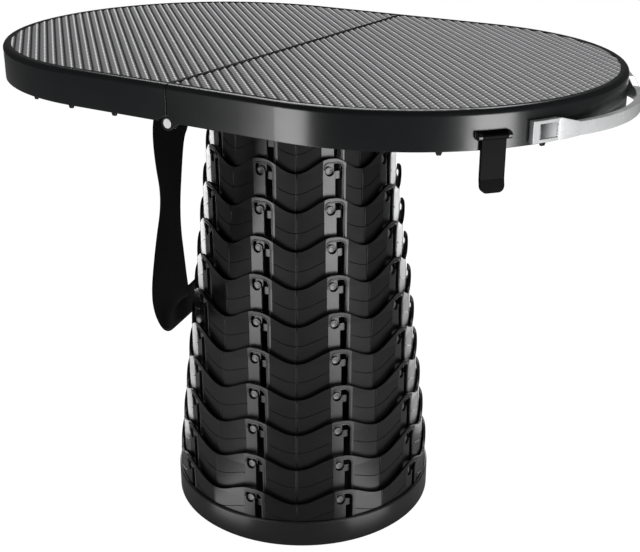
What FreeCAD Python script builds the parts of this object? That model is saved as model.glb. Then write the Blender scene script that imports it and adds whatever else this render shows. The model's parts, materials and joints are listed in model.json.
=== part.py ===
import FreeCAD, Part
import math
import os

from FreeCAD import Vector

# Telescopic camping table, in millimetres. The origin is the middle of the base's underside,
# +Z is up, +X runs along the table's length to the handle and +Y along the seam of its two halves.

# Table top
TABLE_LENGTH = 582.0
TABLE_WIDTH = 380.0
TABLE_HEIGHT = 450.0
RIM_DEPTH = 30.0
RIM_WALL = 3.0
SHOULDER_RADIUS = 4.5
LIP_WIDTH = 2.4
SEAM_GAP = 0.8
DECK_THICKNESS = 3.2
PANEL_THICKNESS = 2.2
PANEL_CLEARANCE = 0.4
RIDGE_PITCH = 7.15
RIDGE_HEIGHT = 1.0
RIDGE_CREST = 0.64
RIDGE_ANGLE = -45.0
RIB_THICKNESS = 2.2
RIB_HEIGHT = 8.0

# Column of rings
RING_COUNT = 11
LOBE_COUNT = 9
RING_RADIUS = 124.5
RING_STEP = 4.0
RING_WALL = 2.2
RING_PITCH = 34.4
RING_OVERLAP = 20.0
RING_FLARE = 1.2
WAVE_DEPTH = 13.0
WAVE_OVERSHOOT = 0.3
STUD_RADIUS = 3.6
STUD_DROP = 12.0
STUD_OFFSET = -1.4
STUD_CLEARANCE = 0.3
NOTCH_CLEARANCE = 0.4
CHANNEL_WIDTH = 6.6
CHANNEL_FOOT = 7.0
WINDOW_DROP = 4.6
WINDOW_ARCH = 5.4
WINDOW_CORNER = 2.5
TONGUE_LIP = 1.0

# Base and head of the column
BASE_HEIGHT = 28.0
BASE_WALL = 2.2
BASE_FLOOR = 2.5
BASE_CHAMFER = 1.2
PAD_COUNT = 6
PAD_RADIUS = 9.0
PAD_HEIGHT = 2.0
RING_SEAT_GAP = 0.3
HEAD_PLATE = 5.0
HEAD_WALL = 3.0
HEAD_SKIRT = 26.0
HEAD_FIT = 0.1
SPIGOT_RADIUS = 66.5
SOCKET_GAP = 0.5
SOCKET_WALL = 3.0
SOCKET_DEPTH = 14.0
SEAT_GAP = 0.2

# Hinge between the halves
HINGE_DROP = 1.0
KNUCKLE_RADIUS = 5.7
KNUCKLE_GAP = 0.5
KNUCKLE_FRONT = 4.5
KNUCKLE_LENGTH = 14.0
PIN_RADIUS = 3.8
PIN_GAP = 0.2
FAIRING_LENGTH = 12.0

# Strap and its brackets
STRAP_WIDTH = 32.0
STRAP_THICKNESS = 1.8
BRACKET_THICKNESS = 2.0
BRACKET_RISE = 15.0
BRACKET_GAP = 0.5
RIVET_RADIUS = 2.0
RIVET_HEAD = 3.4
RIVET_CAP = 0.5
RIVET_SPREAD = 9.0

# Handle and latches on the right end
LATCH_ANGLE = 41.0
LATCH_WIDTH = 19.0
LATCH_THICKNESS = 3.0
LATCH_LENGTH = 42.0
LATCH_CORNER = 5.0
LATCH_FLARE = 2.0
LATCH_STANDOFF = 0.7
LATCH_BARREL = 2.8
LATCH_PIN_RADIUS = 1.5
LATCH_PIN_HEIGHT = 11.0
LATCH_EAR = 3.0
LATCH_SIDE_GAP = 0.4
HANDLE_HALF_ANGLE = 32.0
HANDLE_BOW = 15.0
HANDLE_THICKNESS = 5.0
HANDLE_LUG_HEIGHT = 16.5
HANDLE_BAND_HEIGHT = 10.5
HANDLE_BASE = 2.0
HANDLE_LUG_LENGTH = 23.0
HANDLE_NARROWING = 14.0
HANDLE_GAP = 0.1
HANDLE_FRAME = 2.5
HANDLE_POCKET = 0.8

# Locating pegs under the rim, as distances along it from the seam
PEG_WIDTH = 6.0
PEG_DEPTH = 2.4
PEG_LENGTH = 3.5
LEFT_PEGS = (58.0, 105.0, 154.0)
RIGHT_PEGS = (225.0, 310.0, 371.0)

# Route of the strap's middle, with the direction that its width takes at each point
STRAP_ROUTE = (
    ((0, -182.1, 433), (1, 0, 0)),
    ((0, -182.1, 424), (1, 0, 0)),
    ((-6, -182.1, 413), (1, 0, 0)),
    ((-9, -181, 385), (1, -0.15, 0)),
    ((-11, -178, 345), (0.86, -0.42, 0)),
    ((-20, -171, 302), (0.95, -0.1, 0.1)),
    ((-32, -159, 262), (0.85, 0.15, 0.35)),
    ((-50, -139, 230), (0.55, 0.25, 0.75)),
    ((-76, -108, 205), (0.2, 0.15, 1)),
    ((-103, -66, 190), (0.05, 0.05, 1)),
    ((-122, -14, 184), (0, 0, 1)),
    ((-124, 42, 198), (0, 0, 1)),
    ((-110, 92, 232), (0.1, 0, 1)),
    ((-84, 132, 288), (0.3, 0, 0.95)),
    ((-48, 161, 346), (0.7, 0, 0.6)),
    ((-16, 177, 388), (1, 0, 0.15)),
    ((0, 182.1, 413), (1, 0, 0)),
    ((0, 182.1, 424), (1, 0, 0)),
    ((0, 182.1, 433), (1, 0, 0)),
)

AXIS = Vector(0, 0, 1)
ORIGIN = Vector(0, 0, 0)
LOBE_ANGLE = 360.0 / LOBE_COUNT
RING_HEIGHT = RING_PITCH + RING_OVERLAP
FLOOR_TOP = PAD_HEIGHT + BASE_FLOOR
RIM_BOTTOM = TABLE_HEIGHT - RIM_DEPTH
HINGE_HEIGHT = RIM_BOTTOM - HINGE_DROP
PANEL_INSET = SHOULDER_RADIUS + LIP_WIDTH
PANEL_SEAT = TABLE_HEIGHT - RIDGE_HEIGHT - PANEL_THICKNESS - PANEL_CLEARANCE
DECK_UNDERSIDE = PANEL_SEAT - DECK_THICKNESS
HALF_WIDTH = TABLE_WIDTH / 2
STRAIGHT = (TABLE_LENGTH - TABLE_WIDTH) / 2
SOCKET_RADIUS = SPIGOT_RADIUS + SOCKET_GAP
BORE_RADIUS = PIN_RADIUS + PIN_GAP
LATCH_PIN_REACH = HALF_WIDTH + LATCH_STANDOFF + LATCH_BARREL
LATCH_PIN_Z = RIM_BOTTOM + LATCH_PIN_HEIGHT
BRACKET_FACE = HALF_WIDTH - KNUCKLE_FRONT - BRACKET_GAP


def ring_radius(index):
    """Outside radius of a ring, counted from 1 at the base."""
    return RING_RADIUS - RING_STEP * (index - 1)


def ring_floor(index):
    """Height of a ring's lower edge with the column open."""
    return FLOOR_TOP + RING_PITCH * (index - 1)


def revolved(points):
    """Solid turned about the column's axis from (radius, height) corners."""
    corners = [Vector(radius, 0, height) for radius, height in points]
    return Part.Face(Part.makePolygon(corners + corners[:1])).revolve(ORIGIN, AXIS, 360)


def lines(points):
    """Straight edges through a list of points."""
    return [Part.LineSegment(a, b).toShape() for a, b in zip(points, points[1:])]


def arc(start, middle, end):
    """Circular edge through three points."""
    return Part.Arc(start, middle, end).toShape()


def extruded(edges, direction):
    """Solid swept along a direction from a closed flat outline."""
    return Part.Face(Part.Wire(edges)).extrude(direction)


def block(x_range, y_range, z_range):
    """Box between two limits along each axis."""
    sizes = [high - low for low, high in (x_range, y_range, z_range)]
    return Part.makeBox(*sizes, Vector(x_range[0], y_range[0], z_range[0]))


def rod(radius, y_start, y_end, x=0.0, z=0.0):
    """Cylinder along Y between two stations."""
    return Part.makeCylinder(radius, y_end - y_start, Vector(x, y_start, z), Vector(0, 1, 0))


def turned(shape, angle, centre=ORIGIN):
    """Copy of a shape turned about a vertical line."""
    copy = shape.copy()
    copy.rotate(centre, AXIS, angle)
    return copy


def lobes(shape, offset=0.0):
    """One copy of a shape for every lobe of a ring."""
    return [turned(shape, offset + LOBE_ANGLE * step) for step in range(LOBE_COUNT)]


def mirrored(shape, normal):
    """Copy of a shape reflected through the origin."""
    return shape.mirror(ORIGIN, normal)


def wave_cutter(radius):
    """What is cut away above a ring's wavy edge, centred on one trough."""
    trough = RING_HEIGHT - WAVE_DEPTH
    swing = (WAVE_DEPTH + WAVE_OVERSHOOT) / 2
    points = []
    for step in range(-4, 5):
        angle = math.radians(LOBE_ANGLE / 8 * step)
        height = trough + swing * (1 - math.cos(LOBE_COUNT * angle))
        points.append(Vector(radius / 2, radius * math.sin(angle), height))
    wave = Part.BSplineCurve()
    wave.interpolate(points)
    above = RING_HEIGHT + WAVE_DEPTH
    corners = [points[-1], Vector(radius / 2, points[-1].y, above)]
    corners += [Vector(radius / 2, points[0].y, above), points[0]]
    return extruded([wave.toShape()] + lines(corners), Vector(radius, 0, 0))


def slot_cutter(radius):
    """Window, lock notch and stud channel through a ring's wall, centred on one crest."""
    notch = STUD_RADIUS + NOTCH_CLEARANCE
    left = STUD_OFFSET - notch
    right = STUD_OFFSET + notch
    inner = right + TONGUE_LIP
    outer = inner + CHANNEL_WIDTH
    seat = RING_HEIGHT - STUD_DROP
    top = RING_HEIGHT - WINDOW_DROP
    diagonal = math.sqrt(0.5)

    def at(across, height):
        return Vector(radius / 2, across, height)

    arch = at(outer - WINDOW_ARCH * (1 - diagonal), top - WINDOW_ARCH * (1 - diagonal))
    corner = at(left + WINDOW_CORNER * (1 - diagonal), top - WINDOW_CORNER * (1 - diagonal))
    edges = [arc(at(left, seat), at(STUD_OFFSET, seat - notch), at(right, seat))]
    edges += lines([at(right, seat), at(inner, seat), at(inner, CHANNEL_FOOT), at(outer, CHANNEL_FOOT),
                    at(outer, top - WINDOW_ARCH)])
    edges.append(arc(at(outer, top - WINDOW_ARCH), arch, at(outer - WINDOW_ARCH, top)))
    edges += lines([at(outer - WINDOW_ARCH, top), at(left + WINDOW_CORNER, top)])
    edges.append(arc(at(left + WINDOW_CORNER, top), corner, at(left, top - WINDOW_CORNER)))
    edges += lines([at(left, top - WINDOW_CORNER), at(left, seat)])
    return extruded(edges, Vector(radius, 0, 0))


def stud(radius, height, reach):
    """Round stud standing on a wall of the given radius."""
    root = RING_WALL / 2
    start = Vector(radius - root, STUD_OFFSET, height)
    return Part.makeCylinder(STUD_RADIUS, root + reach, start, Vector(1, 0, 0))


def ring(index):
    """One wavy ring of the column with its windows, channels and studs."""
    radius = ring_radius(index)
    bend = RING_HEIGHT - WAVE_DEPTH
    inside = radius - RING_WALL
    body = revolved([(inside, 0), (radius, 0), (radius, bend), (radius + RING_FLARE, RING_HEIGHT),
                     (inside + RING_FLARE, RING_HEIGHT), (inside, bend)])
    body = body.cut(lobes(wave_cutter(radius), LOBE_ANGLE / 2))
    body = body.cut(lobes(slot_cutter(radius)))
    if index > 1:
        reach = RING_STEP - RING_WALL - STUD_CLEARANCE
        body = body.fuse(lobes(stud(radius, RING_OVERLAP - STUD_DROP, reach)))
    body.translate(Vector(0, 0, ring_floor(index)))
    return body


def base_tray():
    """Round tray that carries the lowest ring, with a plain band outside it."""
    inside = RING_RADIUS + RING_SEAT_GAP
    outside = inside + BASE_WALL
    return revolved([(0, PAD_HEIGHT), (outside - BASE_CHAMFER, PAD_HEIGHT), (outside, PAD_HEIGHT + BASE_CHAMFER),
                     (outside, BASE_HEIGHT - BASE_CHAMFER), (outside - BASE_CHAMFER, BASE_HEIGHT),
                     (inside, BASE_HEIGHT), (inside, FLOOR_TOP), (0, FLOOR_TOP)])


def foot_pads():
    """Rubber pads under the tray, one of them in the middle."""
    reach = RING_RADIUS - PAD_RADIUS - BASE_WALL
    pad = Part.makeCylinder(PAD_RADIUS, PAD_HEIGHT, Vector(reach, 0, 0))
    outer = [turned(pad, 360.0 / PAD_COUNT * step) for step in range(PAD_COUNT)]
    return Part.makeCompound(outer + [Part.makeCylinder(PAD_RADIUS, PAD_HEIGHT)])


def column_head():
    """Cap of the column: a skirt held in the top ring's windows, and the spigot that carries the table."""
    crest = ring_floor(RING_COUNT) + RING_HEIGHT
    skirt = ring_radius(RING_COUNT) - RING_WALL - HEAD_FIT
    plate = ring_radius(RING_COUNT) + RING_FLARE
    foot = crest - HEAD_SKIRT
    top = DECK_UNDERSIDE - SEAT_GAP
    bore = SPIGOT_RADIUS - HEAD_WALL
    body = revolved([(0, top - HEAD_WALL), (bore, top - HEAD_WALL), (bore, crest), (skirt - HEAD_WALL, crest),
                     (skirt - HEAD_WALL, foot), (skirt, foot), (skirt, crest), (plate, crest),
                     (plate, crest + HEAD_PLATE), (SPIGOT_RADIUS, crest + HEAD_PLATE), (SPIGOT_RADIUS, top), (0, top)])
    return body.fuse(lobes(stud(skirt, crest - STUD_DROP, RING_WALL)))


def half_outline(inset, seam, height):
    """Edges of one half's outline, drawn inside the rim by an inset and off the seam by a gap."""
    width = HALF_WIDTH - inset
    start = Vector(STRAIGHT, -width, height)
    end = Vector(STRAIGHT, width, height)
    edges = lines([Vector(seam, -width, height), start])
    edges.append(arc(start, Vector(STRAIGHT + width, 0, height), end))
    return edges + lines([end, Vector(seam, width, height), Vector(seam, -width, height)])


def half_prism(inset, seam, z_range):
    """Upright solid on one half's outline."""
    return extruded(half_outline(inset, seam, z_range[0]), Vector(0, 0, z_range[1] - z_range[0]))


def rim_shell():
    """Rim, shoulder, deck and seam wall of one half, moulded as a tray."""
    seam = SEAM_GAP / 2
    body = half_prism(0, seam, (RIM_BOTTOM, TABLE_HEIGHT))
    shoulder = [edge for edge in body.Edges
                if edge.BoundBox.ZMin > RIM_BOTTOM + 1 and edge.BoundBox.XMax > seam + 1]
    body = body.makeFillet(SHOULDER_RADIUS, [edge for edge in shoulder if edge.BoundBox.ZLength < 1])
    body = body.cut(half_prism(PANEL_INSET, seam + LIP_WIDTH / 2, (PANEL_SEAT, TABLE_HEIGHT)))
    return body.cut(half_prism(RIM_WALL, seam + RIM_WALL, (RIM_BOTTOM, DECK_UNDERSIDE)))


def deck_ribs():
    """Ribs under the deck and the half socket that takes the column's spigot."""
    seam = SEAM_GAP / 2
    cavity = half_prism(RIM_WALL, seam, (DECK_UNDERSIDE - RIB_HEIGHT, DECK_UNDERSIDE))
    z_range = (DECK_UNDERSIDE - RIB_HEIGHT, DECK_UNDERSIDE)
    bars = []
    for station in (STRAIGHT, STRAIGHT + HALF_WIDTH / 2):
        bars.append(block((station, station + RIB_THICKNESS), (-HALF_WIDTH, HALF_WIDTH), z_range))
    for station in (-HALF_WIDTH / 2, HALF_WIDTH / 2):
        bars.append(block((seam, TABLE_LENGTH / 2), (station, station + RIB_THICKNESS), z_range))
    return bars[0].fuse(bars[1:]).common(cavity)


def socket_half():
    """Half of the ring that stands round the spigot."""
    outer = SOCKET_RADIUS + SOCKET_WALL
    ring_wall = revolved([(SOCKET_RADIUS, DECK_UNDERSIDE - SOCKET_DEPTH), (outer, DECK_UNDERSIDE - SOCKET_DEPTH),
                          (outer, DECK_UNDERSIDE), (SOCKET_RADIUS, DECK_UNDERSIDE)])
    z_range = (RIM_BOTTOM, DECK_UNDERSIDE)
    return ring_wall.common(block((SEAM_GAP / 2, outer), (-outer, outer), z_range))


def rim_place(distance, inset):
    """Point and outward direction on the front rim at a distance along it from the seam."""
    reach = HALF_WIDTH - inset
    if distance <= STRAIGHT:
        return Vector(distance, -reach, 0), -90.0
    angle = -90.0 + math.degrees((distance - STRAIGHT) / HALF_WIDTH)
    turn = math.radians(angle)
    return Vector(STRAIGHT + reach * math.cos(turn), reach * math.sin(turn), 0), angle


def peg(distance):
    """Locating peg inside the rim wall, with a tip below it that enters the other half."""
    half = PEG_WIDTH / 2
    place, angle = rim_place(distance, RIM_WALL)
    root = block((-PEG_DEPTH, RIM_WALL / 2), (-half, half), (RIM_BOTTOM, RIM_BOTTOM + PEG_WIDTH))
    gap = NOTCH_CLEARANCE
    low = RIM_BOTTOM - PEG_LENGTH
    corners = [Vector(-PEG_DEPTH, -half, RIM_BOTTOM), Vector(-PEG_DEPTH, half, RIM_BOTTOM)]
    corners += [Vector(-PEG_DEPTH, half / 2, low), Vector(-PEG_DEPTH, -half / 2, low)]
    tip = extruded(lines(corners + corners[:1]), Vector(PEG_DEPTH - gap, 0, 0))
    body = turned(root.fuse(tip), angle)
    body.translate(place)
    return body


def pegs(distances):
    """Pegs along the front rim and their mirror images along the rear."""
    front = [peg(distance) for distance in distances]
    return front + [mirrored(shape, Vector(0, 1, 0)) for shape in front]


def knuckle_spans(right):
    """Stations along Y, on the front end of the seam, of one half's hinge knuckles."""
    second = -BRACKET_FACE + BRACKET_THICKNESS + STRAP_THICKNESS + 2 * BRACKET_GAP
    third = second + KNUCKLE_LENGTH + KNUCKLE_GAP
    if right:
        return [(-HALF_WIDTH, -HALF_WIDTH + KNUCKLE_FRONT), (third, third + KNUCKLE_LENGTH)]
    return [(second, second + KNUCKLE_LENGTH)]


def both_ends(spans):
    """The spans at the front end of the seam and their mirror images at the rear."""
    return spans + [(-end, -start) for start, end in spans]


def knuckle(span):
    """Hinge knuckle with the fairing that runs into the rim."""
    start, end = span
    barrel = rod(KNUCKLE_RADIUS, start, end, z=HINGE_HEIGHT)
    slope = math.radians(60)
    tangent = Vector(KNUCKLE_RADIUS * math.cos(slope), start, HINGE_HEIGHT - KNUCKLE_RADIUS * math.sin(slope))
    corners = [Vector(0, start, HINGE_HEIGHT), tangent, Vector(FAIRING_LENGTH, start, RIM_BOTTOM)]
    corners += [Vector(FAIRING_LENGTH, start, RIM_BOTTOM + RIM_WALL), Vector(SEAM_GAP, start, RIM_BOTTOM + RIM_WALL)]
    return barrel.fuse(extruded(lines(corners + corners[:1]), Vector(0, end - start, 0)))


def folded_knuckle(span):
    """Room that the other half's knuckle takes up in this half once the two are folded."""
    room = mirrored(knuckle(span), AXIS)
    return room.translated(Vector(0, 0, 2 * HINGE_HEIGHT + KNUCKLE_GAP))


def half_shell(right):
    """One moulded half of the table top, drawn on the +X side."""
    shell = rim_shell().fuse([deck_ribs()] + pegs(RIGHT_PEGS if right else LEFT_PEGS))
    bore = Part.makeCylinder(SOCKET_RADIUS, DECK_UNDERSIDE - RIM_BOTTOM, Vector(0, 0, RIM_BOTTOM))
    shell = shell.cut(bore).fuse(socket_half())
    own = both_ends(knuckle_spans(right))
    other = both_ends(knuckle_spans(not right))
    clear = KNUCKLE_RADIUS + KNUCKLE_GAP
    reliefs = [rod(clear, start - KNUCKLE_GAP, end + KNUCKLE_GAP, z=HINGE_HEIGHT) for start, end in other]
    if not right:
        reliefs += [folded_knuckle(span) for span in both_ends(knuckle_spans(True)[:1])]
    margin = RIVET_CAP + BRACKET_GAP
    slot = (-BRACKET_FACE - margin, -BRACKET_FACE + BRACKET_THICKNESS + STRAP_THICKNESS + margin)
    sweep = math.hypot(STRAP_WIDTH / 2, BRACKET_RISE) + BRACKET_GAP
    reliefs += [rod(sweep, start, end, z=HINGE_HEIGHT) for start, end in both_ends([slot])]
    shell = shell.cut(reliefs).fuse([knuckle(span) for span in own])
    if right:
        shell = shell.fuse(latch_ears())
    return shell.cut([rod(BORE_RADIUS, -HALF_WIDTH, HALF_WIDTH, z=HINGE_HEIGHT)])


def ridged_panel():
    """Ridged inlay on one half's deck, drawn on the +X side, ridges level across the seam."""
    seam = SEAM_GAP / 2 + LIP_WIDTH / 2 + PANEL_CLEARANCE
    top = PANEL_SEAT + PANEL_THICKNESS
    count = math.ceil(TABLE_LENGTH / RIDGE_PITCH)
    start = -count * RIDGE_PITCH
    corners = [Vector(start, -TABLE_LENGTH, PANEL_SEAT)]
    for step in range(2 * count):
        valley = start + step * RIDGE_PITCH
        corners.append(Vector(valley, -TABLE_LENGTH, top))
        corners.append(Vector(valley + RIDGE_CREST * RIDGE_PITCH, -TABLE_LENGTH, top + RIDGE_HEIGHT))
    corners += [Vector(-start, -TABLE_LENGTH, top), Vector(-start, -TABLE_LENGTH, PANEL_SEAT)]
    sheet = extruded(lines(corners + corners[:1]), Vector(0, 2 * TABLE_LENGTH, 0))
    inset = PANEL_INSET + PANEL_CLEARANCE
    return sheet, half_prism(inset, seam, (PANEL_SEAT, TABLE_HEIGHT))


def panel(right):
    """One half's ridged inlay."""
    sheet, blank = ridged_panel()
    if not right:
        blank = mirrored(blank, Vector(1, 0, 0))
    return turned(sheet, 90 + RIDGE_ANGLE).common(blank)


def hinge_pin():
    """Pin through the front knuckles."""
    end = knuckle_spans(True)[-1][1]
    return rod(PIN_RADIUS, -HALF_WIDTH, end, z=HINGE_HEIGHT)


def rivet_holes(radius, start, end):
    """Rods through the strap's end, one for each rivet."""
    height = HINGE_HEIGHT + BRACKET_RISE - RIVET_HEAD - 1
    return [rod(radius, start, end, x, height) for x in (-RIVET_SPREAD, RIVET_SPREAD)]


def strap_bracket():
    """Plate hung on the hinge pin, to which the strap's end is riveted."""
    start = -BRACKET_FACE
    end = start + BRACKET_THICKNESS
    eye = rod(KNUCKLE_RADIUS, start, end, z=HINGE_HEIGHT)
    half = STRAP_WIDTH / 2
    plate = block((-half, half), (start, end), (HINGE_HEIGHT + PIN_RADIUS, HINGE_HEIGHT + BRACKET_RISE))
    body = eye.fuse(plate).cut(rod(BORE_RADIUS, start, end, z=HINGE_HEIGHT))
    return body.cut(rivet_holes(RIVET_RADIUS, start, end))


def strap_rivets():
    """Rivets through both brackets and the strap's ends."""
    start = -BRACKET_FACE
    end = start + BRACKET_THICKNESS + STRAP_THICKNESS
    shanks = rivet_holes(RIVET_RADIUS, start, end)
    fronts = rivet_holes(RIVET_HEAD, start - RIVET_CAP, start)
    backs = rivet_holes(RIVET_HEAD, end, end + RIVET_CAP)
    rivets = [a.fuse([b, c]) for a, b, c in zip(shanks, fronts, backs)]
    return Part.makeCompound(rivets + [mirrored(rivet, Vector(0, 1, 0)) for rivet in rivets])


def strap_section(index):
    """Rectangular section of the strap at one point of its route."""
    places = [Vector(*place) for place, _ in STRAP_ROUTE]
    before = places[max(index - 1, 0)]
    after = places[min(index + 1, len(places) - 1)]
    run = (after - before).normalize()
    if index in (0, len(places) - 1):
        run = Vector(0, 0, run.z).normalize()
    across = Vector(*STRAP_ROUTE[index][1])
    across = (across - run * across.dot(run)).normalize()
    through = run.cross(across).normalize() * (STRAP_THICKNESS / 2)
    side = across * (STRAP_WIDTH / 2)
    centre = places[index]
    corners = [centre - side - through, centre + side - through, centre + side + through, centre - side + through]
    return Part.makePolygon(corners + corners[:1])


def strap():
    """Webbing strap from the front bracket round the column to the rear one."""
    body = Part.makeLoft([strap_section(index) for index in range(len(STRAP_ROUTE))], True, True)
    pin_hole = rod(BORE_RADIUS, -HALF_WIDTH, HALF_WIDTH, z=HINGE_HEIGHT)
    return body.cut([pin_hole] + rivet_holes(RIVET_RADIUS, -HALF_WIDTH, HALF_WIDTH))


def rim_frame(shape, angle):
    """Shape drawn at the table's +X end, turned about the end's centre."""
    centre = Vector(STRAIGHT, 0, 0)
    return turned(shape, angle, centre)


def latch_ears():
    """Ears on the rim that hold the latch pins."""
    ears = []
    offset = LATCH_WIDTH / 2 + LATCH_SIDE_GAP
    reach = STRAIGHT + LATCH_PIN_REACH
    for side in (-1, 1):
        start = offset if side > 0 else -offset - LATCH_EAR
        root = block((STRAIGHT + HALF_WIDTH - RIM_WALL / 2, reach), (start, start + LATCH_EAR),
                     (LATCH_PIN_Z - LATCH_BARREL, LATCH_PIN_Z + LATCH_BARREL))
        ear = root.fuse(rod(LATCH_BARREL, start, start + LATCH_EAR, reach, LATCH_PIN_Z))
        ear = ear.cut(rod(LATCH_PIN_RADIUS, start, start + LATCH_EAR, reach, LATCH_PIN_Z))
        ears += [rim_frame(ear, angle) for angle in (-LATCH_ANGLE, LATCH_ANGLE)]
    return ears


def latch_pins():
    """Pins on which the latches swing."""
    half = LATCH_WIDTH / 2 + LATCH_SIDE_GAP + LATCH_EAR
    pin = rod(LATCH_PIN_RADIUS, -half, half, STRAIGHT + LATCH_PIN_REACH, LATCH_PIN_Z)
    return Part.makeCompound([rim_frame(pin, angle) for angle in (-LATCH_ANGLE, LATCH_ANGLE)])


def latch(angle):
    """Swinging latch plate with its barrel and flared tip."""
    half = LATCH_WIDTH / 2
    reach = STRAIGHT + LATCH_PIN_REACH
    inner = STRAIGHT + HALF_WIDTH + LATCH_STANDOFF
    outer = inner + LATCH_THICKNESS
    foot = LATCH_PIN_Z - LATCH_LENGTH
    bend = foot + 2 * LATCH_CORNER
    corners = [Vector(inner, -half, LATCH_PIN_Z), Vector(inner, -half, bend), Vector(inner + LATCH_FLARE, -half, foot)]
    corners += [Vector(outer + LATCH_FLARE, -half, foot), Vector(outer, -half, bend), Vector(outer, -half, LATCH_PIN_Z)]
    plate = extruded(lines(corners + corners[:1]), Vector(0, LATCH_WIDTH, 0))
    tip = [edge for edge in plate.Edges if edge.BoundBox.YLength < 0.01 and edge.BoundBox.ZMax < foot + 0.01]
    plate = plate.makeFillet(LATCH_CORNER, tip)
    body = plate.fuse(rod(LATCH_BARREL, -half, half, reach, LATCH_PIN_Z))
    bore = rod(LATCH_PIN_RADIUS + PIN_GAP, -half, half, reach, LATCH_PIN_Z)
    return rim_frame(body.cut(bore), angle)


def carry_handle():
    """Bowed carrying handle on the table's right end, with a framed lug at each side."""
    base = RIM_BOTTOM + HANDLE_BASE
    inner = HALF_WIDTH + HANDLE_GAP
    outer = inner + HANDLE_THICKNESS
    half_angle = math.radians(HANDLE_HALF_ANGLE)
    lug_angle = half_angle - HANDLE_LUG_LENGTH / HALF_WIDTH

    def at(radius, angle):
        return Vector(STRAIGHT + radius * math.cos(angle), radius * math.sin(angle), base)

    outline = [arc(at(outer, -half_angle), at(outer, (-half_angle - lug_angle) / 2), at(outer, -lug_angle))]
    outline.append(arc(at(outer, -lug_angle), at(outer + HANDLE_BOW - HANDLE_THICKNESS, 0), at(outer, lug_angle)))
    outline.append(arc(at(outer, lug_angle), at(outer, (half_angle + lug_angle) / 2), at(outer, half_angle)))
    outline += lines([at(outer, half_angle), at(inner, half_angle)])
    outline.append(arc(at(inner, half_angle), at(inner, (half_angle + lug_angle) / 2), at(inner, lug_angle)))
    outline.append(arc(at(inner, lug_angle), at(inner + HANDLE_BOW - HANDLE_THICKNESS, 0), at(inner, -lug_angle)))
    outline.append(arc(at(inner, -lug_angle), at(inner, (-half_angle - lug_angle) / 2), at(inner, -half_angle)))
    outline += lines([at(inner, -half_angle), at(outer, -half_angle)])
    plan = extruded(outline, Vector(0, 0, HANDLE_LUG_HEIGHT))

    far = HALF_WIDTH
    lug = HALF_WIDTH * math.sin(lug_angle)
    band = lug - HANDLE_NARROWING
    low = base + (HANDLE_LUG_HEIGHT - HANDLE_BAND_HEIGHT) / 4
    high = low + HANDLE_BAND_HEIGHT
    top = base + HANDLE_LUG_HEIGHT
    side = [(-far, base), (-lug, base), (-band, low), (band, low), (lug, base), (far, base)]
    side += [(far, top), (lug, top), (band, high), (-band, high), (-lug, top), (-far, top)]
    corners = [Vector(STRAIGHT, y, z) for y, z in side]
    body = plan.common(extruded(lines(corners + corners[:1]), Vector(TABLE_LENGTH, 0, 0)))

    pocket = Part.makeCylinder(outer + 1, HANDLE_LUG_HEIGHT - 2 * HANDLE_FRAME, Vector(STRAIGHT, 0, base + HANDLE_FRAME))
    pocket = pocket.cut(Part.makeCylinder(outer - HANDLE_POCKET, HANDLE_LUG_HEIGHT, Vector(STRAIGHT, 0, base)))
    near = lug + HANDLE_FRAME
    away = HALF_WIDTH * math.sin(half_angle) - HANDLE_FRAME
    z_range = (base, top)
    for y_range in ((near, away), (-away, -near)):
        body = body.cut(pocket.common(block((STRAIGHT, TABLE_LENGTH), y_range, z_range)))
    return body


def main():
    """Build every piece and write it to its own file."""
    right = Vector(1, 0, 0)
    across = Vector(0, 1, 0)
    nodes = {"base_tray": base_tray(), "foot_pads": foot_pads(), "column_head": column_head()}
    for index in range(1, RING_COUNT + 1):
        nodes["ring_%02d" % index] = ring(index)
    nodes["right_shell"] = half_shell(True)
    nodes["left_shell"] = mirrored(half_shell(False), right)
    nodes["right_panel"] = panel(True)
    nodes["left_panel"] = panel(False)
    nodes["hinge_pin_front"] = hinge_pin()
    nodes["hinge_pin_rear"] = mirrored(hinge_pin(), across)
    nodes["strap_bracket_front"] = strap_bracket()
    nodes["strap_bracket_rear"] = mirrored(strap_bracket(), across)
    nodes["strap_rivets"] = strap_rivets()
    nodes["strap"] = strap()
    nodes["latch_front"] = latch(-LATCH_ANGLE)
    nodes["latch_rear"] = latch(LATCH_ANGLE)
    nodes["latch_pins"] = latch_pins()
    nodes["carry_handle"] = carry_handle()
    os.makedirs("parts", exist_ok=True)
    for name, shape in nodes.items():
        shape.exportStep("parts/%s.step" % name)
        print(name, shape.isValid(), len(shape.Solids), round(shape.Volume / 1000.0, 1))


main()
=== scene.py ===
"""A telescopic camping table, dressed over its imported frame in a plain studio."""

import json
import logging
import math
from dataclasses import dataclass
from enum import Enum

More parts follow.
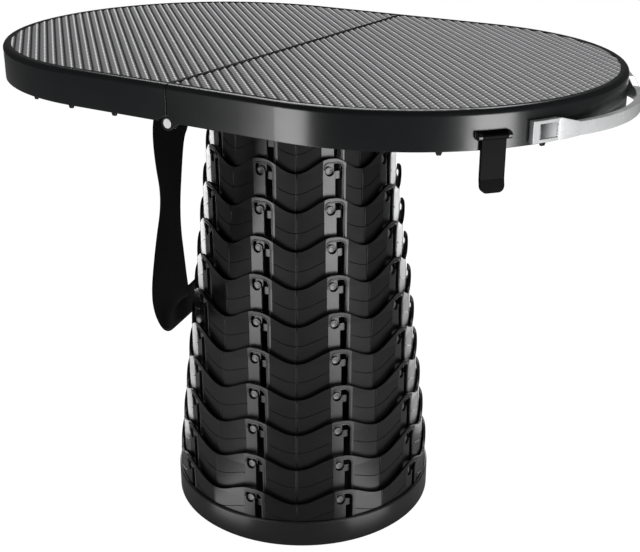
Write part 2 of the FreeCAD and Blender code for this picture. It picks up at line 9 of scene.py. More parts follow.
import bmesh
import bpy
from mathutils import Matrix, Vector

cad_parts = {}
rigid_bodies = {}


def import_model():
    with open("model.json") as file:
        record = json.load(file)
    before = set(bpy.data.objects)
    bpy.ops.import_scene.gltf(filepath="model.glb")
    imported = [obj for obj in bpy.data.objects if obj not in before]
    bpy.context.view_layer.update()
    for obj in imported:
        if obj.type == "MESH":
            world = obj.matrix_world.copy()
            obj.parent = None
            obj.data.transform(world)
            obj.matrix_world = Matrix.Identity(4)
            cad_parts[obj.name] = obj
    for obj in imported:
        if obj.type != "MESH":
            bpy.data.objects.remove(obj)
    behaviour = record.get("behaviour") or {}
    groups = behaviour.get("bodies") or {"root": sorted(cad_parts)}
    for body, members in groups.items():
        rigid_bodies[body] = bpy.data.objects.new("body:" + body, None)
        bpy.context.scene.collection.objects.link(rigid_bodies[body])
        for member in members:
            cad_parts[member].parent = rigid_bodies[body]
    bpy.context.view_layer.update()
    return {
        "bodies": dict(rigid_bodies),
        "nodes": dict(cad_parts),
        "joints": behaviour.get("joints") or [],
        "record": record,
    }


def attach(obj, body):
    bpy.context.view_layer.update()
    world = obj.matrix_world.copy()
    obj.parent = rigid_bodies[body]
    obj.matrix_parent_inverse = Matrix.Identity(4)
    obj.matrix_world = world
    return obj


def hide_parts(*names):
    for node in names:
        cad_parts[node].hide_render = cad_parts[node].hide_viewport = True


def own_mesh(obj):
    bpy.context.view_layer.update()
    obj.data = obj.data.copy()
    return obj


log = logging.getLogger("camping_table")
MM = 0.001
CRESTS = 9
SECTOR = math.tau / CRESTS
RINGS = 11


class Side(Enum):
    """Sides of the table along the seam, as signs of Y."""

    FRONT = -1
    REAR = 1


class Signal:
    """One output socket of a node tree, with arithmetic that adds Math nodes."""

    def __init__(self, nodes: "Nodes", socket: bpy.types.NodeSocket) -> None:
        """Keep the tree's wrapper and the socket."""
        self.nodes = nodes
        self.socket = socket

    def math(self, operation: str, *others: "Signal | float", swap: bool = False) -> "Signal":
        """Add one Math node.

        Args:
            operation: the Math node's operation.
            others: the further operands.
            swap: put this signal last.

        Returns:
            The node's result.
        """
        values = [*others, self] if swap else [self, *others]
        made = self.nodes.node("ShaderNodeMath", {"operation": operation}, dict(enumerate(values)))
        return Signal(self.nodes, made.outputs[0])

    def __add__(self, other: "Signal | float") -> "Signal":
        """Sum."""
        return self.math("ADD", other)

    def __radd__(self, other: float) -> "Signal":
        """Sum with a number on the left."""
        return self.math("ADD", other)

    def __sub__(self, other: "Signal | float") -> "Signal":
        """Difference."""
        return self.math("SUBTRACT", other)

    def __rsub__(self, other: float) -> "Signal":
        """Difference from a number."""
        return self.math("SUBTRACT", other, swap=True)

    def __mul__(self, other: "Signal | float") -> "Signal":
        """Product."""
        return self.math("MULTIPLY", other)

    def __rmul__(self, other: float) -> "Signal":
        """Product with a number on the left."""
        return self.math("MULTIPLY", other)

    def __truediv__(self, other: "Signal | float") -> "Signal":
        """Quotient."""
        return self.math("DIVIDE", other)

    def size(self) -> "Signal":
        """Value without its sign."""
        return self.math("ABSOLUTE")

    def part(self) -> "Signal":
        """Value's fraction."""
        return self.math("FRACT")

    def below(self, limit: "Signal | float") -> "Signal":
        """One where the value is under the limit."""
        return self.math("LESS_THAN", limit)

    def above(self, limit: "Signal | float") -> "Signal":
        """One where the value is over the limit."""
        return self.math("GREATER_THAN", limit)

    def ease(self, low: float, high: float) -> "Signal":
        """Smooth step.

        Args:
            low: the value that gives zero.
            high: the value that gives one.

        Returns:
            A signal from zero to one.
        """
        made = self.nodes.node(
            "ShaderNodeMapRange",
            {"interpolation_type": "SMOOTHSTEP"},
            {"Value": self, "From Min": low, "From Max": high},
        )
        return Signal(self.nodes, made.outputs[0])


class Nodes:
    """A node tree that is written as expressions."""

    def __init__(self, tree: bpy.types.NodeTree) -> None:
        """Empty the tree and keep it."""
        self.tree = tree
        tree.nodes.clear()

    def node(self, kind: str, settings: dict, sockets: dict) -> bpy.types.Node:
        """Add one node.

        Args:
            kind: the node's type.
            settings: its own properties, set first.
            sockets: values or signals by socket name or index.

        Returns:
            The node.
        """
        made = self.tree.nodes.new(kind)
        for key, value in settings.items():
            setattr(made, key, value)
        for key, value in sockets.items():
            self.feed(made.inputs[key], value)
        return made

    def feed(self, socket: bpy.types.NodeSocket, value: object) -> None:
        """Link a signal to a socket, or set its value."""
        if isinstance(value, Signal):
            self.tree.links.new(value.socket, socket)
        else:
            socket.default_value = value

    def out(self, made: bpy.types.Node, name: str | int = 0) -> Signal:
        """A node's output as a signal."""
        return Signal(self, made.outputs[name])

    def split(self, vector: Signal) -> tuple[Signal, Signal, Signal]:
        """A vector's three values."""
        made = self.node("ShaderNodeSeparateXYZ", {}, {0: vector})
        return self.out(made, 0), self.out(made, 1), self.out(made, 2)

    def noise(self, place: Signal, scale: float, detail: float = 2.0) -> Signal:
        """Noise.

        Args:
            place: the coordinates.
            scale: features per metre.
            detail: octaves.

        Returns:
            A signal around a half.
        """
        made = self.node(
            "ShaderNodeTexNoise", {}, {"Vector": place, "Scale": scale, "Detail": detail}
        )
        return self.out(made, 0)

    def mix(self, factor: Signal, low: object, high: object) -> Signal:
        """Blend two colours.

        Args:
            factor: zero for the first colour and one for the second.
            low: first colour or signal.
            high: second colour or signal.

        Returns:
            The blended colour.
        """
        made = self.node(
            "ShaderNodeMix", {"data_type": "RGBA"}, {0: factor, 6: low, 7: high}
        )
        return self.out(made, 2)


class Shader(Nodes):
    """A material's tree with one Principled shader."""

    def __init__(self, name: str) -> None:
        """Make the material and its shader."""
        self.material = bpy.data.materials.new(name)
        self.material.use_nodes = True
        super().__init__(self.material.node_tree)
        self.surface = self.node("ShaderNodeBsdfPrincipled", {}, {})
        self.output = self.node(
            "ShaderNodeOutputMaterial", {}, {"Surface": self.out(self.surface)}
        )

    def place(self, kind: str = "Object") -> Signal:
        """The piece's own coordinates."""
        return self.out(self.node("ShaderNodeTexCoord", {}, {}), kind)

    def relief(self, height: Signal, edge: float) -> None:
        """Shape the surface.

        Args:
            height: relief in metres.
            edge: radius that rounds the edges, in metres.
        """
        sockets = {"Strength": 1.0, "Distance": 1.0, "Height": height}
        if edge > 0:
            rounded = self.node("ShaderNodeBevel", {"samples": 4}, {"Radius": edge})
            sockets["Normal"] = self.out(rounded)
        bump = self.node("ShaderNodeBump", {}, sockets)
        self.feed(self.surface.inputs["Normal"], self.out(bump))


def rgba(
    colour: tuple[float, float, float], gain: float = 1.0
) -> tuple[float, float, float, float]:
    """A colour with its gain and full alpha."""
    return (colour[0] * gain, colour[1] * gain, colour[2] * gain, 1.0)


@dataclass(frozen=True)
class MouldedPlastic:
    """Moulded plastic with a fine spark texture and uneven sheen."""

    name: str
    colour: tuple[float, float, float] = (0.0015, 0.0015, 0.0017)
    roughness: float = 0.33
    grain: float = 0.000012
    scale: float = 1400.0
    edge: float = 0.0005
    gloss: float = 0.5

    def features(self, s: Shader, place: Signal) -> tuple[Signal | float, Signal | float]:
        """Moulded lines of this piece.

        Args:
            s: the shader.
            place: the piece's coordinates.

        Returns:
            Relief in metres, and a mask of painted shade that darkens the colour.
        """
        return 0.0, 0.0

    def make(self) -> bpy.types.Material:
        """The material."""
        s = Shader(self.name)
        place = s.place()
        cloud = s.noise(place, 24.0, 3.0)
        grain = s.noise(place, self.scale, 2.0)
        height, painted_shade = self.features(s, place)
        tone = s.mix(cloud, rgba(self.colour, 0.75), rgba(self.colour, 1.3))
        # Painted shade: where the mask says, the colour turns almost black.
        if isinstance(painted_shade, Signal):
            tone = s.mix(painted_shade, tone, rgba(self.colour, 0.12))
        s.feed(s.surface.inputs["Base Color"], tone)
        sheen = self.roughness + (cloud - 0.5) * 0.12 + (grain - 0.5) * 0.08
        s.feed(s.surface.inputs["Roughness"], sheen)
        s.surface.inputs["Specular IOR Level"].default_value = self.gloss
        s.relief(grain * self.grain + height, self.edge)
        return s.material


@dataclass(frozen=True)
class RingPlastic(MouldedPlastic):
    """Satin plastic of one ring: flat sectors, trough creases and the step between crests, with
    painted shade in the creases and along the step.
    """

    floor: float = 0.0
    radius: float = 0.1
    left: float = -7.5 * MM
    right: float = 13.5 * MM
    step: float = 23.0 * MM
    rise: float = 5.2 * MM

    def features(self, s: Shader, place: Signal) -> tuple[Signal | float, Signal | float]:
        """The sectors, creases and step of this ring.

        Args:
            s: the shader.
            place: the ring's coordinates.

        Returns:
            Relief in metres, and a mask of painted shade that darkens the creases and the band
            above the step.
        """
        x, y, z = s.split(place)
        swing = (y.math("ARCTAN2", x) / SECTOR + (CRESTS + 0.5)).part() - 0.5
        half = 0.5 * SECTOR * self.radius
        t = swing * (2 * half)
        lower = t.below(self.left)
        upper = t.above(self.right)
        lobes = lower + upper
        crest = 1.0 - lobes
        centre = (
            lower * ((self.left - half) / 2)
            + upper * ((self.right + half) / 2)
            + crest * ((self.left + self.right) / 2)
        )
        reach = (
            lower * ((self.left + half) / 2)
            + upper * ((half - self.right) / 2)
            + crest * ((self.right - self.left) / 2)
        )
        away = t - centre
        flat = (away * away - reach * reach) / (2 * self.radius)
        seam = (t.size() - half).size()
        crease = 1.0 - seam.ease(0.25 * MM, 0.8 * MM)
        curve = (swing * math.tau).math("COSINE") + 1.0
        above = z - (curve * self.rise + (self.floor + self.step))
        ledge = (1.0 - above.ease(-0.3 * MM, 0.3 * MM)) * lobes
        line = (1.0 - (above - 0.5 * MM).size().ease(0.2 * MM, 0.6 * MM)) * lobes
        height = flat + ledge * (0.5 * MM) - crease * (0.5 * MM)
        # The returned mask is painted shade: the colour darkens in the trough creases and along the
        # band just above the step.
        return height, (crease * 0.9).math("MAXIMUM", line * 0.85)


@dataclass(frozen=True)
class PanelPlastic:
    """Ridged inlay with fine notches across the ridges, with painted shade in the valleys, painted
    light on the ridges and painted highlights along the crest edges.
    """

    name: str
    colour: tuple[float, float, float] = (0.112, 0.112, 0.114)
    roughness: float = 0.36
    pitch: float = 7.15 * MM
    crest: float = 0.64
    notch: float = 6.4 * MM
    depth: float = 0.18 * MM
    gloss: float = 0.22
    painted_valley_shade: float = 0.02
    painted_ridge_light: float = 2.4
    painted_glint: float = 10.5

    def make(self) -> bpy.types.Material:
        """The material."""
        s = Shader(self.name)
        place = s.place()
        x, y, _ = s.split(place)
        across = (x + y) * (math.sqrt(0.5) / self.pitch) + 200.0
        along = (x - y) * (math.sqrt(0.5) / self.notch) + 400.0
        phase = across.part()
        tooth = (along.part() - 0.5).size().ease(0.08, 0.32)
        grain = s.noise(place, 1800.0, 2.0)
        cloud = s.noise(place, 14.0, 3.0)
        climb = phase.ease(0.02, 0.22)
        fall = 1.0 - phase.ease(self.crest + 0.05, 0.98)
        rising = phase.ease(self.crest - 0.13, self.crest - 0.02)
        edge = rising * (1.0 - phase.ease(self.crest + 0.03, self.crest + 0.14))
        # Painted light and shade across each rib: the colour is near black in the valleys and
        # lighter on the ridges, varied by the notches and random tone.
        body = climb * fall * (0.25 + tooth * 0.75 + grain * 0.3 + cloud * 0.2)
        tone = s.mix(body, rgba(self.colour, self.painted_valley_shade), rgba(self.colour, self.painted_ridge_light))
        # Painted highlight: a bright band of colour just past each crest, brighter between the
        # notches; its colour goes above one.
        painted_glint_mask = edge * (0.25 + tooth * 0.75)
        tone = s.mix(painted_glint_mask, tone, rgba(self.colour, self.painted_glint))
        s.feed(s.surface.inputs["Base Color"], tone)
        s.feed(s.surface.inputs["Roughness"], self.roughness + (grain - 0.5) * 0.2 - painted_glint_mask * 0.08)
        s.surface.inputs["Specular IOR Level"].default_value = self.gloss
        s.relief(tooth * climb * self.depth + grain * (0.03 * MM), 0.0)
        return s.material


@dataclass(frozen=True)
class Webbing:
    """Flat woven strap."""

    name: str
    colour: tuple[float, float, float] = (0.0012, 0.0012, 0.0013)
    across: float = 900.0
    along: float = 520.0
    gloss: float = 0.05

    def make(self) -> bpy.types.Material:
        """The material."""
        s = Shader(self.name)
        u, v, _ = s.split(s.place("UV"))
        picks = (v * (self.along * math.tau)).math("SINE")
        twill = (u * (self.across * math.tau) + v * (self.along * math.tau)).math("SINE")
        threads = twill * 0.6 + picks * 0.4
        fuzz = s.noise(s.place(), 2600.0, 2.0)
        tone = s.mix((threads * 0.5 + 0.5) * fuzz, rgba(self.colour, 0.4), rgba(self.colour, 4.2))
        s.feed(s.surface.inputs["Base Color"], tone)
        s.feed(s.surface.inputs["Roughness"], 0.85 + (fuzz - 0.5) * 0.2)
        s.surface.inputs["Specular IOR Level"].default_value = self.gloss
        s.relief(threads * (0.12 * MM) + fuzz * (0.05 * MM), 0.0)
        return s.material


@dataclass(frozen=True)
class Metal:
    """Plated or painted metal with fine flake and handling marks."""

    name: str
    colour: tuple[float, float, float] = (0.78, 0.78, 0.77)
    roughness: float = 0.22
    metallic: float = 1.0
    flake: float = 3000.0
    edge: float = 0.0003

    def make(self) -> bpy.types.Material:
        """The material."""
        s = Shader(self.name)
        place = s.place()
        flake = s.noise(place, self.flake, 1.0)
        marks = s.noise(place, 60.0, 4.0)
        tone = s.mix(marks, rgba(self.colour, 0.86), rgba(self.colour, 1.08))
        s.feed(s.surface.inputs["Base Color"], tone)
        s.feed(s.surface.inputs["Roughness"], self.roughness + (marks - 0.5) * 0.2)
        s.surface.inputs["Metallic"].default_value = self.metallic
        s.relief(flake * (0.006 * MM), self.edge)
        return s.material


def add_mesh(name: str, made: bmesh.types.BMesh, material: bpy.types.Material) -> bpy.types.Object:
    """Turn a working mesh into an object.

    Args:
        name: the piece's name.
        made: the working mesh, which is freed.
        material: its finish.

    Returns:
        The object, in the scene.
    """
    bmesh.ops.recalc_face_normals(made, faces=made.faces)
    mesh = bpy.data.meshes.new(name)
    made.to_mesh(mesh)
    made.free()
    mesh.materials.append(material)
    for face in mesh.polygons:
        face.use_smooth = True
    piece = bpy.data.objects.new(name, mesh)
    bpy.context.scene.collection.objects.link(piece)
    log.info("made %s", name)
    return piece


def paint(frame: dict, node: str, material: bpy.types.Material) -> None:
    """Give a CAD node its finish."""
    mesh = frame["nodes"][node].data
    mesh.materials.clear()
    mesh.materials.append(material)
    log.info("painted %s", node)


def tube(made: bmesh.types.BMesh, rows: list[list[Vector]]) -> None:
    """Skin closed rows of points and cap both ends.

    Args:
        made: the working mesh.
        rows: closed loops with the same number of points.
    """
    loops = [[made.verts.new(point) for point in row] for row in rows]
    for low, high in zip(loops, loops[1:]):
        for i in range(len(low)):
            j = (i + 1) % len(low)
            made.faces.new((low[i], low[j], high[j], high[i]))
    made.faces.new(loops[0])
    made.faces.new(loops[-1])


@dataclass
class ColumnRing:
    """One wavy ring of the column, with its window borders and stud faces."""

    number: int
    first_radius: float = 124.5 * MM
    radius_step: float = 4.0 * MM
    first_floor: float = 4.5 * MM
    floor_step: float = 34.4 * MM
    crest: float = 54.4 * MM
    trough: float = 41.4 * MM
    flare: float = 1.2 * MM
    stud_radius: float = 3.6 * MM
    stud_reach: float = 1.5 * MM
    stud_height: float = 8.0 * MM
    stud_offset: float = -1.4 * MM
    stud_sides: int = 20
    border_right: float = 11.2 * MM
    border_left: float = -6.4 * MM
    border_foot: float = 14.0 * MM
    border_drop: float = 3.6 * MM
    border_tail: float = 6.5 * MM
    bend: float = 6.4 * MM
    corner: float = 3.5 * MM
    line_gap: float = 0.6 * MM
    line_steps: int = 16
    rib_offset: float = 0.7 * MM
    rib_foot: float = 8.0 * MM
    rib_drop: float = 8.2 * MM
    rib_steps: int = 4

    @property
    def radius(self) -> float:
        """Outer radius of the wall."""
        return self.first_radius - self.radius_step * (self.number - 1)

    @property
    def floor(self) -> float:
        """Level of the ring's lower edge."""
        return self.first_floor + self.floor_step * (self.number - 1)

    @property
    def node(self) -> str:
        """The ring's CAD node."""
        return f"ring_{self.number:02d}"

    @property
    def body(self) -> str:
        """The body that carries the ring."""
        return "base" if self.number == 1 else self.node

    def on_wall(self, angle: float, t: float, z: float, out: float) -> Vector:
        """A point on the outside of the wall.

        Args:
            angle: the crest's azimuth.
            t: distance to the right of the crest.
            z: height over the ring's lower edge.
            out: distance outward from the wall.

        Returns:
            The point in the row frame.
        """
        lean = min(max((z - self.trough) / (self.crest - self.trough), 0.0), 1.0)
        turn = angle + t / self.radius
        r = self.radius + self.flare * lean + out
        return Vector((r * math.cos(turn), r * math.sin(turn), self.floor + z))

    def border_path(self) -> list[tuple[float, float]]:
        """Route of the raised border, up the channel's right side and over the window."""
        right, left, foot = self.border_right, self.border_left, self.border_foot
        top, bend, corner = self.crest - self.border_drop, self.bend, self.corner
        path = [(right, foot + i * (top - bend - foot) / 4) for i in range(4)]
        for i in range(7):
            a = math.radians(15 * i)
            path.append((right - bend + bend * math.cos(a), top - bend + bend * math.sin(a)))
        for i in range(5):
            a = math.radians(90 + 22.5 * i)
            path.append((left + corner + corner * math.cos(a), top - corner + corner * math.sin(a)))
        path.append((left, top - self.border_tail))
        return path

    def bead(self, made: bmesh.types.BMesh, angle: float, path: list, profile: list) -> None:
        """Lay one bead on the wall.

        Args:
            made: the working mesh.
            angle: azimuth from which the path's distances are counted.
            path: distance to the right and height of each station.
            profile: the bead's section, in millimetres across and outward.
        """
        rows = []
        for i, (t, z) in enumerate(path):
            before, after = path[max(i - 1, 0)], path[min(i + 1, len(path) - 1)]
            run = Vector((after[0] - before[0], after[1] - before[1])).normalized()
            rows.append(
                [
                    self.on_wall(angle, t - run.y * a * MM, z + run.x * a * MM, b * MM)
                    for a, b in profile
                ]
            )
        tube(made, rows)

    def borders(self, finish: bpy.types.Material) -> bpy.types.Object:
        """The raised borders of the nine windows.

        Args:
            finish: their plastic.

        Returns:
            One piece for the ring.
        """
        made = bmesh.new()
        half = [(-0.6, -0.35), (-0.5, 0.2), (-0.2, 0.42)]
        profile = half + [(-a, b) for a, b in reversed(half)]
        for crest in range(CRESTS):
            self.bead(made, crest * SECTOR, self.border_path(), profile)
        return add_mesh(f"{self.node}_borders", made, finish)

    def mould_lines(self, plastic: RingPlastic, finish: bpy.types.Material) -> bpy.types.Object:
        """The fine step between crests and the rib beside each crease.

        Args:
            plastic: the ring's plastic, which gives the lines' places.
            finish: the material made from it.

        Returns:
            One piece for the ring.
        """
        made = bmesh.new()
        profile = [(-0.4, -0.3), (-0.32, 0.12), (0.0, 0.22), (0.32, 0.12), (0.4, -0.3)]
        around = SECTOR * self.radius
        first = plastic.right + self.line_gap
        last = around + plastic.left - self.line_gap
        step = []
        for i in range(self.line_steps + 1):
            t = first + (last - first) * i / self.line_steps
            wave = 1 + math.cos(math.tau * t / around)
            step.append((t, plastic.step + plastic.rise * wave))
        beside, reach = around / 2 + self.rib_offset, self.trough - self.rib_drop
        heights = [self.rib_foot + reach * i / self.rib_steps for i in range(self.rib_steps + 1)]
        rib = [(beside, height) for height in heights]
        for crest in range(CRESTS):
            self.bead(made, crest * SECTOR, step, profile)
            self.bead(made, crest * SECTOR, rib, profile)
        return add_mesh(f"{self.node}_mould_lines", made, finish)

    def stud_faces(self, finish: bpy.types.Material) -> bpy.types.Object:
        """The dished faces of the nine studs.

        Args:
            finish: their plastic.

        Returns:
            One piece for the ring.
        """
        made = bmesh.new()
        profile = [(3.4, -0.2), (3.45, 0.06), (3.2, 0.18), (2.5, 0.2), (2.2, 0.08), (0.6, 0.06)]
        for crest in range(CRESTS):
            rows = []
            for reach, out in profile:
                row = []
                for i in range(self.stud_sides):
                    a = math.tau * i / self.stud_sides
                    t = self.stud_offset + reach * MM * math.cos(a)
                    z = self.stud_height + reach * MM * math.sin(a)
                    row.append(self.on_wall(crest * SECTOR, t, z, self.stud_reach + out * MM))
                rows.append(row)
            tube(made, rows)
        return add_mesh(f"{self.node}_stud_faces", made, finish)

    def build(self, frame: dict, border: bpy.types.Material, stud: bpy.types.Material) -> None:
        """Dress the ring.

        Args:
            frame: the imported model.
            border: finish of the borders.
            stud: finish of the stud faces.
        """
        finish = RingPlastic(
            f"ring_plastic_{self.number:02d}", floor=self.floor, radius=self.radius
        )
        plastic = finish.make()
        paint(frame, self.node, plastic)
        pieces = [self.borders(border), self.mould_lines(finish, plastic)]
        if self.number > 1:
            pieces.append(self.stud_faces(stud))
        for piece in pieces:
            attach(piece, self.body)


@dataclass
class Strap:
    """The webbing strap that hangs from the hinge ends and passes behind the column."""

    width: float = 32 * MM
    thickness: float = 1.8 * MM
    hole: float = 4.7 * MM
    hole_height: float = 0.419
    drill_reach: float = 0.2
    drill_sides: int = 24
    steps: int = 10
    edge_thinning: float = 0.55
    route: tuple = (
        ((0.0, -0.1821, 0.433), (1, 0, 0)),
        ((0.0, -0.1821, 0.424), (1, 0, 0)),
        ((-0.006, -0.1821, 0.413), (1, 0, 0)),
        ((-0.009, -0.181, 0.385), (1, -0.15, 0)),
        ((-0.011, -0.178, 0.345), (0.86, -0.42, 0)),
        ((-0.02, -0.171, 0.302), (0.95, -0.1, 0.1)),
        ((-0.032, -0.159, 0.262), (0.85, 0.15, 0.35)),
        ((-0.05, -0.139, 0.23), (0.55, 0.25, 0.75)),
        ((-0.076, -0.108, 0.205), (0.2, 0.15, 1)),
        ((-0.103, -0.066, 0.19), (0.05, 0.05, 1)),
        ((-0.122, -0.014, 0.184), (0, 0, 1)),
        ((-0.124, 0.042, 0.198), (0, 0, 1)),
        ((-0.11, 0.092, 0.232), (0.1, 0, 1)),
        ((-0.084, 0.132, 0.288), (0.3, 0, 0.95)),
        ((-0.048, 0.161, 0.346), (0.7, 0, 0.6)),
        ((-0.016, 0.177, 0.388), (1, 0, 0.15)),
        ((0.0, 0.1821, 0.413), (1, 0, 0)),
        ((0.0, 0.1821, 0.424), (1, 0, 0)),
        ((0.0, 0.1821, 0.433), (1, 0, 0)),
    )

    def spline(self, points: list[Vector]) -> list[Vector]:
        """Points along a smooth spline.

        Args:
            points: its control points.

        Returns:
            The points that the spline gives.
        """
        curve = bpy.data.curves.new("strap_line", "CURVE")
        curve.dimensions = "3D"
        curve.resolution_u = 10
        line = curve.splines.new("NURBS")
        line.points.add(len(points) - 1)
        for target, point in zip(line.points, points):
            target.co = (*point, 1.0)
        line.order_u = 3
        line.use_endpoint_u = True
        holder = bpy.data.objects.new("strap_line", curve)
        mesh = bpy.data.meshes.new_from_object(holder)
        found = [vertex.co.copy() for vertex in mesh.vertices]
        bpy.data.objects.remove(holder)
        bpy.data.meshes.remove(mesh)
        bpy.data.curves.remove(curve)
        return found

    def ribbon(self, finish: bpy.types.Material) -> tuple[bpy.types.Object, float]:
        """The woven ribbon.

        Args:
            finish: its webbing.

        Returns:
            The piece, and its length in metres.
        """
        centres = self.spline([Vector(point) for point, _ in self.route])
        sides = self.spline(
            [
                Vector(point) + Vector(side).normalized() * (self.width / 2)
                for point, side in self.route
            ]
        )
        outline = [(-1 + 2 * i / self.steps, 1) for i in range(self.steps + 1)]
        outline += [(1 - 2 * i / self.steps, -1) for i in range(self.steps + 1)]
        made = bmesh.new()
        sheet = made.loops.layers.uv.new("strap")
        rows, marks, length = [], [], 0.0
        for i, (centre, side) in enumerate(zip(centres, sides)):
            run = centres[min(i + 1, len(centres) - 1)] - centres[max(i - 1, 0)]
            run.normalize()
            across = side - centre
            across = (across - run * across.dot(run)).normalized()
            face = run.cross(across)
            if i:
                length += (centre - centres[i - 1]).length
            marks.append(length)
            row = []
            for u, way in outline:
                half = 0.5 * self.thickness * (1.0 - self.edge_thinning * abs(u) ** 6)
                spot = centre + across * (u * self.width / 2) + face * (way * half)
                row.append(made.verts.new(spot))
            rows.append(row)
        count = len(outline)
        for i, (low, high) in enumerate(zip(rows, rows[1:])):
            for j in range(count):
                k = (j + 1) % count
                face = made.faces.new((low[j], low[k], high[k], high[j]))
                spots = ((j, i), (k, i), (k, i + 1), (j, i + 1))
                for loop, (column, row) in zip(face.loops, spots):
                    loop[sheet].uv = (outline[column][0] * self.width / 2, marks[row])
        made.faces.new(rows[0])
        made.faces.new(rows[-1])
        return add_mesh("webbing_strap", made, finish), length

    def drill(self, piece: bpy.types.Object) -> None:
        """Cut the holes for the hinge pins at both ends."""
        made = bmesh.new()
        rows = []
        for side in Side:
            row = []
            for i in range(self.drill_sides):
                a = math.tau * i / self.drill_sides
                x, z = self.hole * math.cos(a), self.hole_height + self.hole * math.sin(a)
                row.append(Vector((x, side.value * self.drill_reach, z)))
            rows.append(row)
        tube(made, rows)
        cutter = add_mesh("strap_drill", made, piece.data.materials[0])
        cut = piece.modifiers.new("holes", "BOOLEAN")
        cut.operation = "DIFFERENCE"
        cut.object = cutter
        bpy.context.view_layer.update()
        ready = piece.evaluated_get(bpy.context.evaluated_depsgraph_get())
        mesh = bpy.data.meshes.new_from_object(ready)
        piece.modifiers.clear()
        piece.data = mesh
        bpy.data.objects.remove(cutter)

    def build(self, finish: bpy.types.Material) -> None:
        """Make the strap and hang it on the hinge line."""
        piece, length = self.ribbon(finish)
        self.drill(piece)
        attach(piece, "hinge_line")
        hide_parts("strap")
        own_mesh(piece)


@dataclass(frozen=True)
class InlayPaint:
    """Inlay of the handle's lugs, silver that turns darker towards its outer end."""

    name: str = "handle_inlay"
    near: float = 83.0 * MM
    away: float = 98.0 * MM
    outer_tone: tuple[float, float, float] = (0.03, 0.032, 0.034)
    silver: tuple[float, float, float] = (0.42, 0.425, 0.43)

    def make(self) -> bpy.types.Material:
        """The material."""
        s = Shader(self.name)
        place = s.place()
        _, y, _ = s.split(place)
        # The colour goes from silver to a dark grey towards the inlay's outer end.
        fade = 1.0 - y.size().ease(self.near, self.away)
        brush = s.noise(place, 500.0, 3.0)
        tone = s.mix(fade * (0.85 + brush * 0.3), rgba(self.outer_tone), rgba(self.silver))
        s.feed(s.surface.inputs["Base Color"], tone)
        s.feed(s.surface.inputs["Roughness"], 0.22 + brush * 0.12)
        s.relief(brush * (0.01 * MM), 0.0)
        return s.material


@dataclass
class CarryHandle:
    """Inlays in the framed pockets of the handle's two lugs."""

    end_centre: float = 101.0 * MM
    pocket_radius: float = 194.3 * MM
    thickness: float = 0.3 * MM
    low: float = 424.8 * MM
    high: float = 435.7 * MM
    near: float = 83.3 * MM
    away: float = 97.9 * MM
    sunk: float = 0.1 * MM
    end_ease: float = 0.6 * MM
    side_ease: float = 0.25 * MM
    steps: int = 12

    def inlay(self, side: Side, finish: bpy.types.Material) -> bpy.types.Object:
        """One inlay with eased edges.

        Args:
            side: the lug's side.
            finish: its paint.

        Returns:
            The piece.
        """
        made = bmesh.new()
        rows = []
        for i in range(self.steps + 1):
            y = side.value * (self.near + (self.away - self.near) * i / self.steps)
            ease = self.end_ease if i in (0, self.steps) else self.side_ease
            row = []
            for z, out in (
                (self.low, -self.sunk),
                (self.low, self.thickness - ease / 2),
                (self.low + ease, self.thickness),
                (self.high - ease, self.thickness),
                (self.high, self.thickness - ease / 2),
                (self.high, -self.sunk),
            ):
                r = self.pocket_radius + out
                row.append(Vector((self.end_centre + math.sqrt(r * r - y * y), y, z)))
            rows.append(row)
        tube(made, rows)
        return add_mesh(f"handle_inlay_{side.name.lower()}", made, finish)

    def build(self, finish: bpy.types.Material) -> None:
        """Set both inlays on the right half."""
        for side in Side:
            piece = self.inlay(side, finish)
            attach(piece, "right_half")


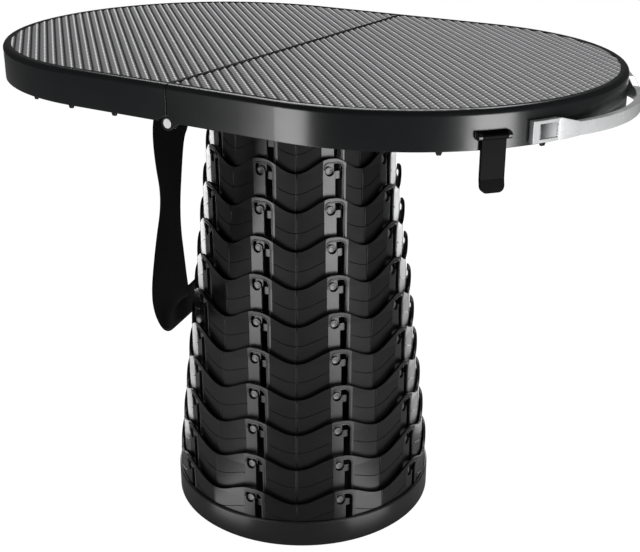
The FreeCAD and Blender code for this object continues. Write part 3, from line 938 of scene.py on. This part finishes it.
@dataclass
class Studio:
    """Pale floor, white surroundings, soft boxes and the camera."""

    eye: tuple = (0.5641, -0.8586, 0.6473)
    look: tuple = (-0.4950, 0.7813, -0.3801)
    lens: float = 64.37
    target: tuple = (0.0, 0.0, 0.25)
    base_radius: float = 0.15
    floor_size: float = 6.0
    floor_level: float = -0.0004
    strip_level: float = 0.002
    floor_dark: tuple[float, float, float] = (0.26, 0.26, 0.26)
    floor_pale: tuple[float, float, float] = (0.3, 0.3, 0.3)
    glow: float = 1.14
    glow_share: float = 0.87
    fill: float = 0.26
    mirrored_fill: float = 0.05

    def floor(self) -> None:
        """The pale floor, which keeps the table's shadow."""
        s = Shader("studio_floor")
        grain = s.noise(s.place(), 40.0, 3.0)
        tone = s.mix(grain, rgba(self.floor_dark), rgba(self.floor_pale))
        s.feed(s.surface.inputs["Base Color"], tone)
        s.surface.inputs["Roughness"].default_value = 0.9
        seen = s.out(s.node("ShaderNodeLightPath", {}, {}), "Is Camera Ray")
        white = s.node("ShaderNodeEmission", {}, {"Color": (1, 1, 1, 1), "Strength": self.glow})
        both = s.node(
            "ShaderNodeMixShader",
            {},
            {0: seen * self.glow_share, 1: s.out(s.surface), 2: s.out(white)},
        )
        s.feed(s.output.inputs["Surface"], s.out(both))
        made = bmesh.new()
        bmesh.ops.create_circle(made, cap_ends=True, segments=64, radius=self.floor_size)
        for vertex in made.verts:
            vertex.co.z = self.floor_level
        add_mesh("floor", made, s.material)

    def surroundings(self) -> None:
        """White where the camera looks, softer as light and darker in reflections."""
        world = bpy.data.worlds.new("studio")
        world.use_nodes = True
        bpy.context.scene.world = world
        s = Nodes(world.node_tree)
        path = s.node("ShaderNodeLightPath", {}, {})
        seen = s.out(path, "Is Camera Ray").math("MAXIMUM", s.out(path, "Is Transmission Ray"))
        mirrored = s.out(path, "Is Glossy Ray")
        strength = self.fill + seen * (1 - self.fill) - mirrored * (self.fill - self.mirrored_fill)
        ground = s.node("ShaderNodeBackground", {}, {"Color": (1, 1, 1, 1), "Strength": strength})
        s.node("ShaderNodeOutputWorld", {}, {"Surface": s.out(ground)})

    def soft_light(self, name: str, size: tuple, watts: float) -> bpy.types.Object:
        """A rectangular light that the camera doesn't see.

        Args:
            name: its name.
            size: width and height in metres.
            watts: power.

        Returns:
            The light's object, in the scene.
        """
        light = bpy.data.lights.new(name, "AREA")
        light.shape = "RECTANGLE"
        light.size, light.size_y = size
        light.energy = watts
        holder = bpy.data.objects.new(name, light)
        holder.visible_camera = False
        bpy.context.scene.collection.objects.link(holder)
        return holder

    def lamp(
        self, name: str, turn: float, rise: float, far: float, size: tuple, watts: float
    ) -> None:
        """One soft box.

        Args:
            name: its name.
            turn: azimuth in degrees, zero in front.
            rise: elevation in degrees.
            far: distance in metres.
            size: width and height in metres.
            watts: power.
        """
        holder = self.soft_light(name, size, watts)
        a, e = math.radians(turn), math.radians(rise)
        way = Vector((math.sin(a) * math.cos(e), -math.cos(a) * math.cos(e), math.sin(e)))
        holder.location = Vector(self.target) + way * far
        holder.rotation_euler = (-way).to_track_quat("-Z", "Y").to_euler()

    def floor_strip(self, name: str, turn: float, size: tuple, watts: float) -> None:
        """One soft strip that lies on the floor and points at the column's axis.

        Args:
            name: its name.
            turn: azimuth in degrees, zero in front.
            size: width and length in metres.
            watts: power.
        """
        holder = self.soft_light(name, size, watts)
        a = math.radians(turn)
        far = self.base_radius + size[1] / 2
        holder.location = (math.sin(a) * far, -math.cos(a) * far, self.strip_level)
        holder.rotation_euler = (math.pi, 0.0, a)

    def camera(self) -> None:
        """The camera at the photograph's angle."""
        data = bpy.data.cameras.new("camera")
        data.sensor_fit = "HORIZONTAL"
        data.sensor_width = 36.0
        data.lens = self.lens
        holder = bpy.data.objects.new("camera", data)
        holder.location = self.eye
        holder.rotation_euler = Vector(self.look).to_track_quat("-Z", "Y").to_euler()
        bpy.context.scene.collection.objects.link(holder)
        bpy.context.scene.camera = holder

    def build(self) -> None:
        """Set up the studio."""
        bpy.context.scene.view_settings.view_transform = "Standard"
        self.floor()
        self.surroundings()
        self.lamp("left_box", -8.0, -5.0, 0.58, (0.17, 0.4), 1.7)
        self.lamp("right_box", 69.0, -5.0, 0.58, (0.17, 0.4), 2.2)
        self.lamp("rear_left_box", -115.0, -5.0, 0.62, (0.26, 0.4), 1.3)
        self.lamp("rear_right_box", 181.0, -5.0, 0.62, (0.26, 0.4), 1.9)
        self.floor_strip("left_strip", -8.0, (0.07, 0.4), 0.24)
        self.floor_strip("right_strip", 69.0, (0.07, 0.4), 0.24)
        self.floor_strip("rear_left_strip", -115.0, (0.24, 0.42), 0.75)
        self.floor_strip("rear_right_strip", 181.0, (0.24, 0.42), 0.75)
        self.lamp("back_box", 213.0, 58.0, 1.9, (1.6, 1.0), 26.0)
        self.camera()


@dataclass
class Table:
    """The finishes of the CAD nodes that keep their own shape."""

    def build(self, frame: dict) -> None:
        """Paint the nodes of the base, the top and the hardware."""
        rim = MouldedPlastic(
            "rim_plastic", (0.009, 0.010, 0.0105), 0.22, grain=0.000006, edge=0.0008
        )
        panel = PanelPlastic("panel_plastic")
        base = MouldedPlastic("base_plastic", (0.006, 0.006, 0.0064), 0.34)
        latch = MouldedPlastic("latch_plastic", (0.0015, 0.0015, 0.0015), 0.5, gloss=0.05)
        rubber = MouldedPlastic(
            "pad_rubber", (0.014, 0.014, 0.014), 0.75, grain=0.00003, scale=900.0
        )
        nickel = Metal("pin_metal", (0.9, 0.9, 0.89), 0.25, 0.25)
        dark_pin = Metal("dark_pin_metal", (0.02, 0.02, 0.021), 0.4, 0.6)
        zinc = Metal("bracket_metal", (0.5, 0.51, 0.52), 0.4)
        silver = Metal("handle_silver", (0.59, 0.595, 0.6), 0.26, 0.25, edge=0.0008)
        table = {
            rim: ("left_shell", "right_shell"),
            panel: ("left_panel", "right_panel"),
            base: ("base_tray", "column_head"),
            latch: ("latch_front", "latch_rear"),
            rubber: ("foot_pads",),
            nickel: ("hinge_pin_front", "hinge_pin_rear", "strap_rivets"),
            dark_pin: ("latch_pins",),
            zinc: ("strap_bracket_front", "strap_bracket_rear"),
            silver: ("carry_handle",),
        }
        for finish, nodes in table.items():
            material = finish.make()
            for node in nodes:
                paint(frame, node, material)


def main() -> None:
    """Load the frame, dress the table and light it."""
    logging.basicConfig(level=logging.INFO, format="%(name)s: %(message)s")
    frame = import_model()
    Studio().build()
    Strap().build(Webbing("webbing").make())
    Table().build(frame)
    CarryHandle().build(InlayPaint().make())
    border = MouldedPlastic("border_plastic", (0.02, 0.02, 0.021), 0.3, edge=0.0).make()
    stud = MouldedPlastic("stud_plastic", (0.09, 0.09, 0.092), 0.3, edge=0.0).make()
    for number in range(1, RINGS + 1):
        ColumnRing(number).build(frame, border, stud)
    log.info("dressed the table")


if __name__ == "__main__":
    main()
